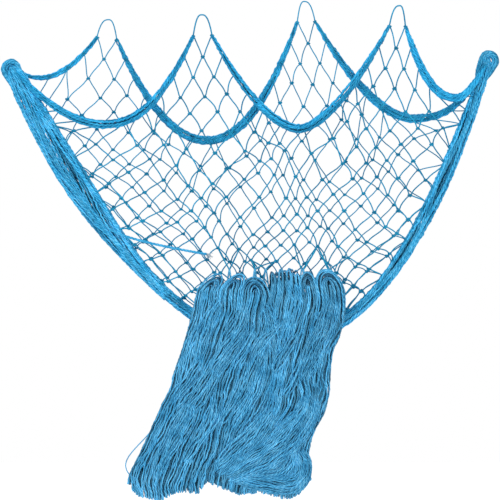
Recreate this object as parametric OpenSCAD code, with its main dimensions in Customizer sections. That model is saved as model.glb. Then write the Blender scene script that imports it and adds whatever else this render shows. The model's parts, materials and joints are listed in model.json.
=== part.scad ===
// A hung fishing net: one knotted net folded into two layers, slung from six
// hooks so that its head edge falls in swags, with a folded hank in front.
// Millimetres. +X runs right, +Z up and +Y back to the wall.
// The origin is the inside top of the highest hanging loop, where its hook bears, so
// the back layer lies in the plane y = 0 and the front layer in front of it.

/* [Hooks] */
// Outer left hook, from the highest hook [across, up]
hook_left_end = [-644, -141];
// Back layer's left hook
hook_back_left = [-430, -40];
// Front layer's left hook
hook_front_left = [-225, -30];
// Back layer's right hook, the highest
hook_back_right = [0, 0];
// Front layer's right hook
hook_front_right = [210, -10];
// Outer right hook
hook_right_end = [406, -122];

/* [Swags] */
// Lowest point of the front layer's left swag
low_front_left = [-440, -270];
// Lowest point of the front layer's middle swag
low_front_middle = [-10, -280];
// Lowest point of the front layer's right swag
low_front_right = [335, -212];
// Lowest point of the back layer's left swag
low_back_left = [-580, -167];
// Lowest point of the back layer's middle swag
low_back_middle = [-215, -305];
// Lowest point of the back layer's right swag
low_back_right = [235, -257];
// Lowest point of the foot, where the net is folded in two
low_foot = [-80, -748];

/* [Netting] */
// Diameter of the twine
twine_d = 2.4; // [2:0.1:3]
// Rows of knots between a hook and the foot
rows = 17; // [14:1:19]
// Distance between the two layers
layer_gap = 12; // [10:0.5:16]

/* [Gathers] */
// Half height of a head band at the bottom of a swag
band_half = 9; // [7:1:11]
// Half width of the left side gather at its widest
left_gather_half = 33; // [26:1:36]
// Half width of the right side gather at its widest
right_gather_half = 18; // [14:1:22]
// Half depth of the side and foot gathers
gather_depth = 16; // [13:1:18]

/* [Hank] */
// Height of the hank's top fold, below the highest hook
hank_top_z = -588; // [-610:1:-570]
// Height of its lowest fold
hank_bottom_z = -1088; // [-1100:1:-1060]
// Left and right edges at the top fold
hank_top_span = [-230, 85];
// Left and right edges at the bottom folds
hank_bottom_span = [-386, 20];
// Half the depth of the hank
hank_depth = 44; // [35:1:50]
// Gap between the hank's back and the plane midway between the layers
hank_back = 30; // [26:1:40]

/* [Hidden] */
// A swag is [start hook, lowest point, end hook, steepness left, steepness right,
// first column, last column]. A column is a line of knots from head to foot, and the
// next one is half a mesh on. The hooks hold even columns
FRONT_SWAGS = [
    [hook_left_end, low_front_left, hook_front_left, 1.85, 2.3, 0, 12],
    [hook_front_left, low_front_middle, hook_front_right, 1.75, 1.6, 12, 26],
    [hook_front_right, low_front_right, hook_right_end, 2.4, 1.7, 26, 34]
];
BACK_SWAGS = [
    [hook_left_end, low_back_left, hook_back_left, 2, 1.9, 0, 6],
    [hook_back_left, low_back_middle, hook_back_right, 2, 2.15, 6, 22],
    [hook_back_right, low_back_right, hook_right_end, 1.7, 2.7, 22, 34]
];
FOOT = [hook_left_end, low_foot, hook_right_end, 1.87, 2.4];
COLUMNS = 34;

MIDDLE_Y = -layer_gap / 2;
HANK_Y = MIDDLE_Y - hank_back - hank_depth; // the middle of the hank's depth
SWAG_STEPS = 24;      // straight stretches in one swag's half
TWINE_SIDES = 4;
BUNDLE_SIDES = 10;
SHORTEST_TWINE = 200; // a shorter one is lost in the side gather
BAND_END = 3;         // half height of a head band at a hook
BAND_FLATNESS = 0.7;  // a head band's depth over its height
BAND_GAP = 0.4;       // between a band and the layer that it edges
TUCK = 8;             // how far a bundle's end runs on into its neighbour
FOOT_HALF = 13;       // half width of the foot gather
LOOP_REACH = 42;      // from a hook down to the feet of its hanging loop
END_REACH = 16;       // from an outer hook to where its head bands begin
END_LOOP_R = 14;      // middle radius of the bunch over an outer hook
END_BUNCH_R = 8;      // half thickness of that bunch
END_LEG = 36;         // length of the bunch's two straight legs
END_LEAN = 24;        // how far the legs lean in towards the net
TIP_SHARE = 0.02;     // share of the foot line that an end bunch covers
TIP_HALF = 0.6;       // a side gather's half width at its tip, over its widest
WIDEST_AT = 0.45;     // how far along a side gather is at its widest
LEFT_BREAK = 0.36;    // where the side gathers meet the foot gather, along the foot
RIGHT_BREAK = 0.63;
HANK_FOLDS = 5;
HANK_STEPS = 14;
LEFT_SLANT = 1.2;     // above 1, an edge of the hank leans more to the left near the foot
RIGHT_SLANT = 0.85;   // below 1, it leans more near the top
FOLD_GAP = 0.6;
SWEEP_START = [36, -880];
SWEEP_END = [-196, -1052];
SWEEP_HALF = 17;      // half width of the strands that sweep over the hank's front
SWEEP_DEPTH = 6.5;
SWEEP_GAP = 1.5;      // between the sweep's back and the folds' front
LOOSE_START = [-310, -900];
LOOSE_END = [-372, -1046];
LOOSE_BULGE = 34;     // how far the loose loop swings out
STRAND_R = 2;         // half thickness of the loose loop's twine
STRAY_START = [-432, -492];
STRAY_END = [-214, -554];
STRAY_R = 3.2;        // half thickness of the stray strand, a few twines twisted together
STRAY_GAP = 6;        // from the left gather's front to the stray strand's middle

NET_BLUE = [0.06, 0.42, 0.70];
PALE_BLUE = [0.10, 0.50, 0.78];
HANK_BLUE = [0.12, 0.48, 0.72];

function layer_y(front) = front ? -layer_gap : 0;

// ---- curves in the XZ plane ----

function mix(a, b, t) = a + (b - a) * t;

// A point of a valley curve at x: it leaves its lowest point level on both sides
function valley_z(v, x) =
    let (left = x < v[1].x, end = left ? v[0] : v[2], power = left ? v[3] : v[4])
    let (s = abs(x - v[1].x) / abs(end.x - v[1].x))
    v[1].y + (end.y - v[1].y) * pow(s, power);

// Points are closer together where the curve is steep, near its ends
function ease(t) = (1 - cos(180 * t)) / 2;

function valley(v) = [
    for (i = [0 : 2 * SWAG_STEPS])
    let (x = mix(v[0].x, v[2].x, ease(i / (2 * SWAG_STEPS))))
    [x, valley_z(v, x)]
];

function clear_of(p, hook) =
    norm(p - hook) > (hook == hook_left_end || hook == hook_right_end ? END_REACH : LOOP_REACH);

// A swag without its ends, which are the legs of the hanging loops
function swag_line(v) = [for (p = valley(v)) if (clear_of(p, v[0]) && clear_of(p, v[2])) p];

function last(list) = list[len(list) - 1];

// Length along a line up to each of its points
function lengths(line) = [
    for (i = 0, sum = 0; i < len(line);
         i = i + 1, sum = sum + (i < len(line) ? norm(line[i] - line[i - 1]) : 0))
    sum
];

// The point at a share of a line's whole length
function along(line, upto, share) =
    let (want = share * last(upto))
    let (i = max([for (k = [0 : len(upto) - 2]) if (upto[k] <= want) k]))
    let (t = (want - upto[i]) / (upto[i + 1] - upto[i]))
    mix(line[i], line[i + 1], t);

function stretch_of(line, from, to, steps) =
    let (upto = lengths(line))
    [for (i = [0 : steps]) along(line, upto, mix(from, to, i / steps))];

FOOT_LINE = valley(FOOT);
FOOT_UPTO = lengths(FOOT_LINE);

// ---- tubes swept along a line in the XZ plane ----

function heading(line, i) =
    let (d = line[min(i + 1, len(line) - 1)] - line[max(i - 1, 0)])
    d / norm(d);

// Below 1, blunt makes a round section squarer
function swell(c, blunt) = sign(c) * pow(abs(c), blunt);

function ring(p, side, y, half, depth, sides, blunt) = [
    for (k = [0 : sides - 1])
    let (a = 360 * (k + 0.5) / sides)
    let (out = half * swell(cos(a), blunt))
    [p.x + side.x * out, y + depth * swell(sin(a), blunt), p.y + side.y * out]
];

// halves and depths hold one number for each point of the line
function tube_points(line, y, halves, depths, sides, blunt = 1) = [
    for (i = [0 : len(line) - 1])
    let (h = heading(line, i))
    each ring(line[i], [-h.y, h.x], y, halves[i], depths[i], sides, blunt)
];

function tube_faces(rings, sides, first = 0) = concat(
    [[for (k = [sides - 1 : -1 : 0]) first + k]],
    [
        for (i = [0 : rings - 2], k = [0 : sides - 1])
        let (a = first + i * sides + k, b = first + i * sides + (k + 1) % sides)
        each [[a, b, a + sides], [b, b + sides, a + sides]]
    ],
    [[for (k = [0 : sides - 1]) first + (rings - 1) * sides + k]]
);

module tube(line, y, halves, depths, sides = BUNDLE_SIDES, blunt = 1) {
    polyhedron(
        points = tube_points(line, y, halves, depths, sides, blunt),
        faces = tube_faces(len(line), sides)
    );
}

// Like tube, but every ring is level, so that the sides keep their distance in X
module loft(line, y, halves, depths, sides = 16, blunt = 0.6) {
    rings = [
        for (i = [len(line) - 1 : -1 : 0])
        each ring(line[i], [-1, 0], y, halves[i], depths[i], sides, blunt)
    ];
    polyhedron(points = rings, faces = tube_faces(len(line), sides));
}

function same(value, line) = [for (p = line) value];

// ---- netting: zigzag twines, each knotted to its neighbours at every second row ----

function swags_of(front) = front ? FRONT_SWAGS : BACK_SWAGS;

function head_at(front, column) =
    let (v = [for (v = swags_of(front)) if (column <= v[6]) v][0])
    let (line = valley(v))
    along(line, lengths(line), (column - v[5]) / (v[6] - v[5]));

function foot_at(column) = along(FOOT_LINE, FOOT_UPTO, column / COLUMNS);

// The head band runs down from each hook along the bars, a row for each column, and
// the rows above it are drawn into it
function first_row(front, column) =
    min([for (v = swags_of(front)) min(abs(column - v[5]), abs(column - v[6]))]);

// One column's knots: [head, foot, number of its first row]
function column_of(front, column) =
    [head_at(front, column), foot_at(column), first_row(front, column)];

function knot(c, row) = mix(c[0], c[1], (row - c[2]) / (rows - c[2]));

// Twine i swings between columns i and i + 1. Its first bar lies in the head band
function twine_line(front, i) =
    let (c = [column_of(front, i), column_of(front, i + 1)])
    [for (row = [max(1, min(c[0][2], c[1][2])) : rows]) knot(c[(i + row) % 2], row)];

function long_enough(front, column) =
    norm(head_at(front, column) - foot_at(column)) > SHORTEST_TWINE;

// Warps have even numbers and shuttle twines odd ones
function twines_of(front, swag, odd) = [
    for (i = [swag[5] + odd : 2 : swag[6] - 1])
    if (long_enough(front, i) && long_enough(front, i + 1)) twine_line(front, i)
];

module twines(front, swag, odd) {
    r = twine_d / 2;
    lines = twines_of(front, swag, odd);
    points = [
        for (line = lines)
        each tube_points(line, layer_y(front), same(r * 1.25, line), same(r, line), TWINE_SIDES)
    ];
    faces = [
        for (n = 0, first = 0; n < len(lines);
             first = first + len(lines[n]) * TWINE_SIDES, n = n + 1)
        each tube_faces(len(lines[n]), TWINE_SIDES, first)
    ];
    color(odd == 0 ? NET_BLUE : PALE_BLUE) polyhedron(points = points, faces = faces);
}

// ---- bands, loops and gathers ----

// A head band is the layer's edge rows drawn together, thickest where the swag is lowest
module head_band(front, swag) {
    line = swag_line(swag);
    n = len(line) - 1;
    halves = [for (i = [0 : n]) mix(BAND_END, band_half, pow(sin(180 * i / n), 1.5))];
    depths = [for (h = halves) h * BAND_FLATNESS];
    offset = twine_d / 2 + BAND_GAP + band_half * BAND_FLATNESS;
    y = layer_y(front) + (front ? -offset : offset);
    color(PALE_BLUE) tube(line, y, halves, depths, 8);
}

// One mesh drawn open over its hook. Its feet are the ends of the swags beside it,
// and the inside of its top is the hook's bearing point
module hang_loop(front, left_swag, right_swag) {
    steps = 18;
    r = twine_d / 2;
    top = left_swag[2] + [0, r]; // the middle line passes over the hook
    feet = [last(swag_line(left_swag)), swag_line(right_swag)[0]];
    line = [
        for (i = [0 : steps])
        let (s = mix(-1, 1, i / steps))
        let (foot = s < 0 ? feet[0] : feet[1])
        [mix(top.x, foot.x, pow(abs(s), 0.8)), mix(top.y, foot.y, pow(abs(s), 2.2))]
    ];
    color(PALE_BLUE)
        tube(line, layer_y(front), same(r, line), same(r, line), 6);
}

// The rows' ends, bunched over an outer hook. The inside of its top bears on the hook
module end_bunch(hook) {
    lean = hook == hook_left_end ? -END_LEAN : END_LEAN;
    centre = [hook.x, MIDDLE_Y, hook.y - END_LOOP_R + END_BUNCH_R];
    color(NET_BLUE) translate(centre) rotate([0, lean, 0]) {
        rotate([90, 0, 0])
            rotate_extrude(angle = 180, $fn = 32)
            translate([END_LOOP_R, 0])
            circle(r = END_BUNCH_R, $fn = 20);
        for (side = [-1, 1])
            translate([side * END_LOOP_R, 0, -END_LEG])
            cylinder(r = END_BUNCH_R, h = END_LEG, $fn = 20);
    }
}

// A bundle along a stretch of the foot line, between two shares of its length
module foot_bundle(from, to, halves, steps = 16) {
    line = stretch_of(FOOT_LINE, from, to, steps);
    depths = [for (h = halves) min(h, gather_depth)];
    color(NET_BLUE) tube(line, MIDDLE_Y, halves, depths);
}

// Half width of a side gather: it swells from the hook and thins towards the foot
function gather_half(widest, t) =
    let (tip = TIP_HALF * widest, end = FOOT_HALF + 1)
    t < WIDEST_AT
        ? mix(tip, widest, sin(90 * t / WIDEST_AT))
        : mix(widest, end, ease((t - WIDEST_AT) / (1 - WIDEST_AT)));

module left_side_gather() {
    foot_bundle(TIP_SHARE, LEFT_BREAK, [for (i = [0 : 16]) gather_half(left_gather_half, i / 16)]);
}

module right_side_gather() {
    foot_bundle(1 - TIP_SHARE, RIGHT_BREAK, [for (i = [0 : 16]) gather_half(right_gather_half, i / 16)]);
}

module foot_gather() {
    reach = TUCK / last(FOOT_UPTO);
    foot_bundle(LEFT_BREAK - reach, RIGHT_BREAK + reach, [for (i = [0 : 16]) FOOT_HALF]);
}

// A strand pulled out of the left gather that runs to the right in front of the net
module stray_strand() {
    line = [
        for (i = [0 : 12])
        let (t = i / 12)
        [mix(STRAY_START.x, STRAY_END.x, t), mix(STRAY_START.y, STRAY_END.y, pow(t, 0.6))]
    ];
    radii = same(STRAY_R, line);
    color(PALE_BLUE) tube(line, MIDDLE_Y - gather_depth - STRAY_GAP, radii, radii, 6);
}

// ---- hank ----

// Where the line between two folds is at a height: they fan out and lean left on their way down
function fold_edge(share, z) =
    let (s = (hank_top_z - z) / (hank_top_z - hank_bottom_z))
    mix(
        mix(hank_top_span[0], hank_top_span[1], share),
        mix(hank_bottom_span[0], hank_bottom_span[1], share),
        pow(s, mix(LEFT_SLANT, RIGHT_SLANT, share))
    );

// How far short of the lowest fold each fold ends, and how far its top stands down
FOLD_RISE = [0, 8, 22, 12, 8];
FOLD_DIP = [12, 2, 14, 0, 4];

module hank_fold(n) {
    top = hank_top_z - FOLD_DIP[n - 1];
    bottom = hank_bottom_z + FOLD_RISE[n - 1];
    steps = [for (i = [0 : HANK_STEPS]) ease(i / HANK_STEPS)];
    levels = [for (s = steps) mix(top, bottom, s)];
    left = [for (z = levels) fold_edge((n - 1) / HANK_FOLDS, z) + FOLD_GAP];
    right = [for (z = levels) fold_edge(n / HANK_FOLDS, z) - FOLD_GAP];
    round_end = [for (s = steps) 0.3 + 0.7 * sqrt(1 - pow(abs(2 * s - 1), 20))];
    line = [for (i = [0 : HANK_STEPS]) [(left[i] + right[i]) / 2, levels[i]]];
    halves = [for (i = [0 : HANK_STEPS]) (right[i] - left[i]) / 2 * round_end[i]];
    depths = [for (e = round_end) hank_depth * e];
    color(HANK_BLUE * mix(0.9, 1.1, n % 2))
        loft(line, HANK_Y, halves, depths);
}

// Strands that leave the right edge and sweep down to the left over the folds
module hank_front_sweep() {
    line = [
        for (i = [0 : 12])
        let (t = i / 12)
        [mix(SWEEP_START.x, SWEEP_END.x, t), mix(SWEEP_START.y, SWEEP_END.y, pow(t, 0.75))]
    ];
    halves = [for (i = [0 : 12]) SWEEP_HALF * (0.45 + 0.55 * sin(180 * i / 12))];
    color(HANK_BLUE)
        tube(line, HANK_Y - hank_depth - SWEEP_GAP - SWEEP_DEPTH, halves, same(SWEEP_DEPTH, line));
}

// One loop of twine that has come out of the hank's lower left edge
module hank_loose_loop() {
    line = [
        for (i = [0 : 14])
        let (t = i / 14)
        [
            mix(LOOSE_START.x, LOOSE_END.x, t) - LOOSE_BULGE * sin(180 * pow(t, 2)),
            mix(LOOSE_START.y, LOOSE_END.y, t)
        ]
    ];
    radii = same(STRAND_R, line);
    color(PALE_BLUE) tube(line, HANK_Y, radii, radii, 6);
}

twines(true, FRONT_SWAGS[0], 0);  // front_left_warps
twines(true, FRONT_SWAGS[0], 1);  // front_left_shuttles
twines(true, FRONT_SWAGS[1], 0);  // front_middle_warps
twines(true, FRONT_SWAGS[1], 1);  // front_middle_shuttles
twines(true, FRONT_SWAGS[2], 0);  // front_right_warps
twines(true, FRONT_SWAGS[2], 1);  // front_right_shuttles
twines(false, BACK_SWAGS[0], 0);  // back_left_warps
twines(false, BACK_SWAGS[0], 1);  // back_left_shuttles
twines(false, BACK_SWAGS[1], 0);  // back_middle_warps
twines(false, BACK_SWAGS[1], 1);  // back_middle_shuttles
twines(false, BACK_SWAGS[2], 0);  // back_right_warps
twines(false, BACK_SWAGS[2], 1);  // back_right_shuttles
head_band(true, FRONT_SWAGS[0]);  // front_left_head_band
head_band(true, FRONT_SWAGS[1]);  // front_middle_head_band
head_band(true, FRONT_SWAGS[2]);  // front_right_head_band
head_band(false, BACK_SWAGS[0]);  // back_left_head_band
head_band(false, BACK_SWAGS[1]);  // back_middle_head_band
head_band(false, BACK_SWAGS[2]);  // back_right_head_band
hang_loop(false, BACK_SWAGS[0], BACK_SWAGS[1]);  // back_left_hang_loop
hang_loop(true, FRONT_SWAGS[0], FRONT_SWAGS[1]);  // front_left_hang_loop
hang_loop(false, BACK_SWAGS[1], BACK_SWAGS[2]);  // back_right_hang_loop
hang_loop(true, FRONT_SWAGS[1], FRONT_SWAGS[2]);  // front_right_hang_loop
end_bunch(hook_left_end);  // left_end_bunch
end_bunch(hook_right_end);  // right_end_bunch
left_side_gather();
right_side_gather();
foot_gather();
stray_strand();
hank_fold(1);  // hank_fold_1
hank_fold(2);  // hank_fold_2
hank_fold(3);  // hank_fold_3
hank_fold(4);  // hank_fold_4
hank_fold(5);  // hank_fold_5
hank_front_sweep();
hank_loose_loop();
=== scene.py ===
import json
from collections import namedtuple
import bpy
import numpy as np
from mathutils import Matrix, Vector


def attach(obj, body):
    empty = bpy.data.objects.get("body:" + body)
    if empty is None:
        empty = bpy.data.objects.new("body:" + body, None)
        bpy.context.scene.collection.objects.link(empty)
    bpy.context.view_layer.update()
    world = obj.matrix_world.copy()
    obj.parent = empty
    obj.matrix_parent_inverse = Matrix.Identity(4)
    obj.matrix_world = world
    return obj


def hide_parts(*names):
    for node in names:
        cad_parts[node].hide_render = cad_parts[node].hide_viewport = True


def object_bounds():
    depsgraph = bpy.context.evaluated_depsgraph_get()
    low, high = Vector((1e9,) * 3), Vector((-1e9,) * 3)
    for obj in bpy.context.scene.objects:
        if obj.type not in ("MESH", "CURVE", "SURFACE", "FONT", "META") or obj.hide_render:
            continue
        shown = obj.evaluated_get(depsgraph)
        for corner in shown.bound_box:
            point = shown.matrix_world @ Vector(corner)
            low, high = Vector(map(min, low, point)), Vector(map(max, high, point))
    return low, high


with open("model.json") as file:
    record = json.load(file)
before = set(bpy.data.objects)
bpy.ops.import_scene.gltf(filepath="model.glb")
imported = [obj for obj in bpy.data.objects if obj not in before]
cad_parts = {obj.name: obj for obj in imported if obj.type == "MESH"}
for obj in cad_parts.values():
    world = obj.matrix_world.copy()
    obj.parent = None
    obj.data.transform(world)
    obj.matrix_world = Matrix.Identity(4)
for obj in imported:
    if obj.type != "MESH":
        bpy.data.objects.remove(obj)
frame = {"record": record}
CAD_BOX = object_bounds()

# ---- driving sizes, as in the part's source ----

MOUNTS = {m["name"]: m["pos_m"] for m in frame["record"]["mounts"]}
HOOK = {name: np.array([p[0], p[2]]) for name, p in MOUNTS.items()}
BACK_Y = MOUNTS["hook_back_right"][1]
FRONT_Y = MOUNTS["hook_front_right"][1]
MIDDLE_Y = (BACK_Y + FRONT_Y) / 2
HINGE = frame["record"]["behaviour"]["joints"][0]["pos_m"]

COLUMNS = 34
# A swag runs from one hook to another over its lowest point [x, z]. The powers say how steeply
# it rises to each hook, and the columns of netting from first to last hang from it.
Swag = namedtuple("Swag", "start low end left_power right_power first last")
FRONT_SWAGS = {
    "left": Swag("hook_left_end", (-0.440, -0.270), "hook_front_left", 1.85, 2.3, 0, 12),
    "middle": Swag("hook_front_left", (-0.010, -0.280), "hook_front_right", 1.75, 1.6, 12, 26),
    "right": Swag("hook_front_right", (0.335, -0.212), "hook_right_end", 2.4, 1.7, 26, COLUMNS),
}
BACK_SWAGS = {
    "left": Swag("hook_left_end", (-0.580, -0.167), "hook_back_left", 2.0, 1.9, 0, 6),
    "middle": Swag("hook_back_left", (-0.215, -0.305), "hook_back_right", 2.0, 2.15, 6, 22),
    "right": Swag("hook_back_right", (0.235, -0.257), "hook_right_end", 1.7, 2.7, 22, COLUMNS),
}
FOOT = Swag("hook_left_end", (-0.080, -0.748), "hook_right_end", 1.87, 2.4, 0, COLUMNS)
ROWS = 20              # rows of knots from a hook to the foot
LOST = 6               # columns that each side gather has taken in at the foot
LEFT_BREAK = 0.36      # where the side gathers end, along the foot
RIGHT_BREAK = 0.63
BAR = 0.0495           # a bar of twine between two knots
FRONT_R = 0.00165      # radius of the front layer's twine
BACK_R = 0.00140
KNOT_HALF = 0.0032     # half width of a knot
PLIES = 3              # of a twine
LAY = 0.011            # length in which the plies turn once round
STRAND_R = 0.0018      # radius of a strand in a gather
BAND_STRAND_R = 0.0019
BUNDLE_STEP = 0.0055   # between the points of a strand in a bundle
BAND_STRANDS = 20
BAND_HALF = 0.0095
BAND_TIP_HALF = 0.0022
BAND_OFFSET = 0.006    # a head band lies this far outside its layer
BACK_THICKNESS = {"left": 0.55, "middle": 1, "right": 1}  # of the back head bands
LEFT_HALF = 0.033
RIGHT_HALF = 0.018
TIP_SHARE = 0.05       # length of a side gather's round tip, over its whole length
TIP_HALF = 0.62        # its half width there, over its widest
WIDEST_AT = 0.45       # where it is widest, over its whole length
FOOT_HALF = 0.014
GATHER_DEPTH = 0.016
END_LOOP_R = 0.014     # middle radius of the bunch over an outer hook
END_BUNCH_R = 0.008
END_LEG = 0.060        # its legs sink into the side gather
END_LEAN = np.radians(24)
# The stray strand's ends [x, z], in front of the left gather
STRAY_START = (-0.432, -0.492)
STRAY_END = (-0.214, -0.554)
STRAY_Y = MIDDLE_Y - GATHER_DEPTH - 0.006
STRAY_TWINE_R = 0.0015
# The loose loop's ends [x, z] in the hank's left edge, and how far it swings out
LOOSE_START = (-0.310, -0.900)
LOOSE_END = (-0.372, -1.046)
LOOSE_BULGE = 0.034
LOOSE_R = 0.0014
HANK_TOP = -0.588
HANK_BOTTOM = -1.088
# The hank's sides, from its top fold down: points [x, z]
HANK_LEFT = (
    (-0.226, -0.588), (-0.243, -0.670), (-0.270, -0.770), (-0.320, -0.900), (-0.358, -0.985),
    (-0.386, -1.045), (-0.384, -1.088),
)
HANK_RIGHT = (
    (0.078, -0.588), (0.090, -0.655), (0.080, -0.720), (0.060, -0.790), (0.051, -0.880),
    (0.020, -0.945), (0.010, -0.995), (0.016, -1.040), (0.008, -1.088),
)
# Its lower edge, from left to right: share of the width, height
HANK_FOOT = (
    (0.00, -1.058), (0.03, -1.080), (0.185, -1.091), (0.24, -1.080), (0.32, -1.071), (0.395, -1.076),
    (0.445, -1.050), (0.49, -1.060), (0.605, -1.077), (0.72, -1.071), (0.875, -1.087), (0.94, -1.080),
    (1.00, -1.050),
)
TURN_DROP = 0.007      # how far a strand's turn reaches below its straight run
HANK_DEPTH = 0.044     # half of it
HANK_BACK = 0.030      # from the plane midway between the layers to the hank's back
HANK_Y = MIDDLE_Y - HANK_BACK - HANK_DEPTH
HANK_R = 0.00168       # radius of a strand in the hank
STRAND_PITCH = 0.0040  # between strands side by side in the hank
STRAND_INSET = 0.0016  # how far inside the hank's face the outer strands' middles lie
# Sheets of strands from the hank's outside in: depth, how closely they lie and how dark they are
# painted, the deeper sheets darker as painted shade
HANK_SHEETS = ((0.0, 1, 1), (0.004, 1, 0.45), (0.013, 0.7, 0.40))
# The hank's folds: left and right edge as shares of its width, how far the top stands down,
# how many loops it is folded in and how far their tops lie to the right
FOLDS = (
    (0.00, 0.30, 0.001, 2, 0.8),
    (0.30, 0.50, 0.006, 1, -0.2),
    (0.50, 0.70, -0.010, 7, 0.0),
    (0.70, 0.81, -0.010, 1, 0.1),
    (0.81, 1.00, -0.008, 1, -0.1),
)
# Where the net's twines run into the hank's top folds, along the hinge line
TIES_X = (-0.164, -0.107, -0.085, -0.004, 0.055)
# Locks of strands that lie across the hank's front: route [x, z], width, strands, lift
LOCKS = (
    (((0.020, -0.850), (-0.004, -0.915), (-0.060, -0.975), (-0.135, -1.022), (-0.180, -1.040)),
     0.066, 19, 0.011),
    (((-0.165, -1.026), (-0.120, -1.044), (-0.070, -1.052), (-0.028, -1.054),
      (-0.006, -1.034), (-0.004, -1.002), (-0.018, -0.970)), 0.042, 14, 0.008),
    (((-0.150, -1.020), (-0.105, -1.036), (-0.062, -1.034), (-0.036, -1.012),
      (-0.030, -0.985), (-0.040, -0.960)), 0.036, 11, 0.005),
    (((-0.120, -0.700), (-0.150, -0.740), (-0.185, -0.790), (-0.210, -0.830)), 0.036, 9, 0.004),
    (((-0.040, -0.690), (-0.070, -0.720), (-0.100, -0.755), (-0.120, -0.790)), 0.026, 7, 0.005),
    (((0.060, -0.640), (0.050, -0.700), (0.020, -0.770), (-0.010, -0.840)), 0.044, 11, 0.005),
    (((-0.178, -0.640), (-0.196, -0.670), (-0.218, -0.720), (-0.238, -0.800)), 0.026, 7, 0.003),
    (((-0.240, -0.860), (-0.275, -0.930), (-0.310, -1.000), (-0.330, -1.050)), 0.034, 9, 0.005),
    (((-0.060, -0.880), (-0.100, -0.940), (-0.150, -0.990), (-0.200, -1.035)), 0.050, 13, 0.005),
    (((-0.088, -0.650), (-0.076, -0.690), (-0.068, -0.730), (-0.066, -0.790)), 0.022, 6, 0.003),
)
LOCK_UNDER = 0.0035    # a lock's second layer lies this far behind its first
SCATTERED_LOCKS = 34


# ---- camera, floor and light ----

def add_camera():
    """From the front and far off, with the net's width filling the picture."""
    low, high = np.array(CAD_BOX[0]), np.array(CAD_BOX[1])
    distance = 12.0
    sensor = 36.0
    width_in_margins = 500
    margin = (high[0] - low[0]) / width_in_margins
    seen = high[0] - low[0] + 2 * margin
    height = high[2] + margin - seen / 2
    data = bpy.data.cameras.new("camera")
    data.sensor_width = sensor
    data.lens = sensor * distance / seen
    camera = bpy.data.objects.new("camera", data)
    camera.location = ((low[0] + high[0]) / 2, MIDDLE_Y - distance, height)
    camera.rotation_euler = (np.pi / 2, 0, 0)
    bpy.context.collection.objects.link(camera)
    bpy.context.scene.camera = camera


def add_floor():
    """A pale floor some way below the hank."""
    height = CAD_BOX[0][2] - 0.16
    reach = 6.0
    corners = [(-reach, -reach), (reach, -reach), (reach, reach), (-reach, reach)]
    mesh = bpy.data.meshes.new("floor")
    mesh.from_pydata([(x, y, height) for x, y in corners], [], [(0, 1, 2, 3)])
    floor = bpy.data.objects.new("floor", mesh)
    bpy.context.collection.objects.link(floor)
    material = bpy.data.materials.new("pale_floor")
    material.use_nodes = True
    shader = material.node_tree.nodes["Principled BSDF"]
    shader.inputs["Base Color"].default_value = (0.93, 0.93, 0.93, 1)
    shader.inputs["Roughness"].default_value = 0.95
    shader.inputs["Emission Color"].default_value = (1, 1, 1, 1)
    shader.inputs["Emission Strength"].default_value = 0.14
    mesh.materials.append(material)


def add_area_light(name, place, target, size, power):
    data = bpy.data.lights.new(name, "AREA")
    data.shape = "DISK"
    data.size = size
    data.energy = power
    light = bpy.data.objects.new(name, data)
    light.location = place
    aim = Vector(target) - Vector(place)
    light.rotation_euler = aim.to_track_quat("-Z", "Y").to_euler()
    bpy.context.collection.objects.link(light)


def add_light():
    """A white room with a soft key light from the left and another from above."""
    world = bpy.data.worlds.new("studio")
    world.use_nodes = True
    sky = world.node_tree.nodes["Background"]
    sky.inputs["Color"].default_value = (1, 1, 1, 1)
    sky.inputs["Strength"].default_value = 1.0
    bpy.context.scene.world = world
    middle = (-0.12, -0.05, -0.55)
    add_area_light("key", (-1.6, -2.6, 1.4), middle, 1.6, 26)
    add_area_light("overhead", (0.6, 0.4, 1.9), middle, 1.4, 14)
    bpy.context.scene.view_settings.view_transform = "Standard"


# ---- curves ----

def mix(a, b, t):
    return a + (b - a) * t


def ease(t):
    """From 0 to 1, slow at both ends."""
    return (1 - np.cos(np.pi * t)) / 2


def valley(swag, steps=96):
    """Points [x, z] of a swag, level at its lowest point and steep at its hooks."""
    start, low, end = HOOK[swag.start], swag.low, HOOK[swag.end]
    x = mix(start[0], end[0], ease(np.linspace(0, 1, steps + 1)))
    left = x < low[0]
    run = np.where(left, low[0] - start[0], end[0] - low[0])
    rise = np.where(left, start[1], end[1]) - low[1]
    power = np.where(left, swag.left_power, swag.right_power)
    z = low[1] + rise * (np.abs(x - low[0]) / run) ** power
    return np.stack([x, z], axis=-1)


def lengths(line):
    """How far along a line each of its points lies."""
    steps = np.linalg.norm(np.diff(line, axis=0), axis=1)
    return np.concatenate([[0], np.cumsum(steps)])


def at_shares(line, shares):
    """Points at these shares of a line's length."""
    upto = lengths(line)
    want = np.asarray(shares) * upto[-1]
    return np.stack([np.interp(want, upto, column) for column in line.T], axis=-1)


def across(line, shares):
    """Unit vectors in the XZ plane, square to the line and to its left."""
    step = 0.004
    ahead = at_shares(line, np.clip(shares + step, 0, 1))
    behind = at_shares(line, np.clip(shares - step, 0, 1))
    run = ahead - behind
    run = run / np.linalg.norm(run, axis=-1, keepdims=True)
    return np.stack([-run[..., 1], run[..., 0]], axis=-1)


def ripple(rng, place, down, length, amount, own=0.35):
    """A smooth wander along strands: near ones wander together, each a little on its own."""
    total = 0
    for _ in range(3):
        wave = length * rng.uniform(0.6, 1.5)
        phase = rng.uniform(0, 2 * np.pi) + place * rng.uniform(-9, 9)
        phase = phase + own * rng.normal(size=np.shape(place))
        total = total + np.sin(2 * np.pi * down / wave + phase)
    return amount * total / 2


FOOT_LINE = valley(FOOT)
FOOT_LENGTH = lengths(FOOT_LINE)[-1]


# ---- twine: many tubes in one mesh ----

def unit(v):
    """The vectors at length 1."""
    return v / np.maximum(np.linalg.norm(v, axis=-1, keepdims=True), 1e-9)


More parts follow.
